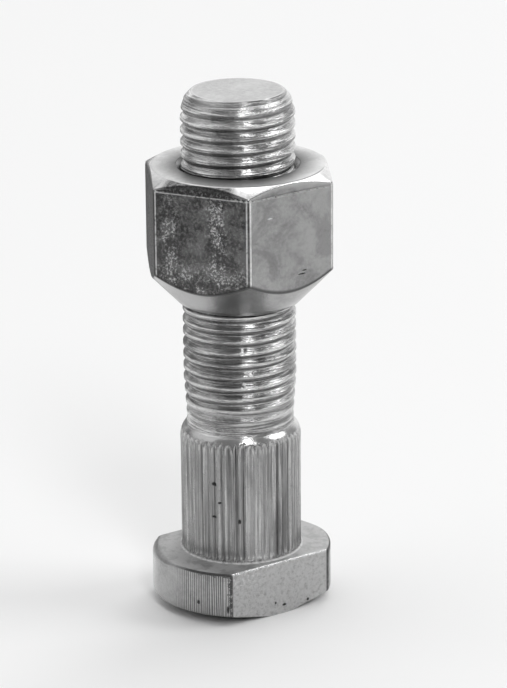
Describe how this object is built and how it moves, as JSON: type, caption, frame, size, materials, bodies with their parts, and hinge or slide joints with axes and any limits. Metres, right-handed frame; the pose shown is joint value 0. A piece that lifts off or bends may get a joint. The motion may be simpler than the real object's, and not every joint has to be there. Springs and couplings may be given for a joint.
{
  "type": "wheel stud with nut",
  "caption": "Press-in wheel stud with a round head trimmed by flats, a knurled shank and a fine thread, carrying a hexagon wheel nut with a conical seat",
  "frame": {"origin": "centre of the underside of the head, on the stud's axis", "axes": "+Z along the stud from the head to the threaded end, +Y across the head's two flats, +X along the flats"},
  "size_m": [0.0248, 0.022, 0.0655],
  "materials": {
    "stud_zinc": "bright zinc plate on forged and rolled steel, with small pits and shear marks on the head",
    "nut_zinc": "bright zinc plate on a forged nut, mottled on the flats"
  },
  "bodies": {
    "stud_body": {"stud": "stud_zinc"},
    "nut_body": {"nut": "nut_zinc"}
  },
  "joints": [
    {"name": "nut_travel", "type": "slide", "parent": "stud_body", "child": "nut_body", "axis": [0, 0, 1], "range_m": [-0.012, 0.0255]}
  ]
}
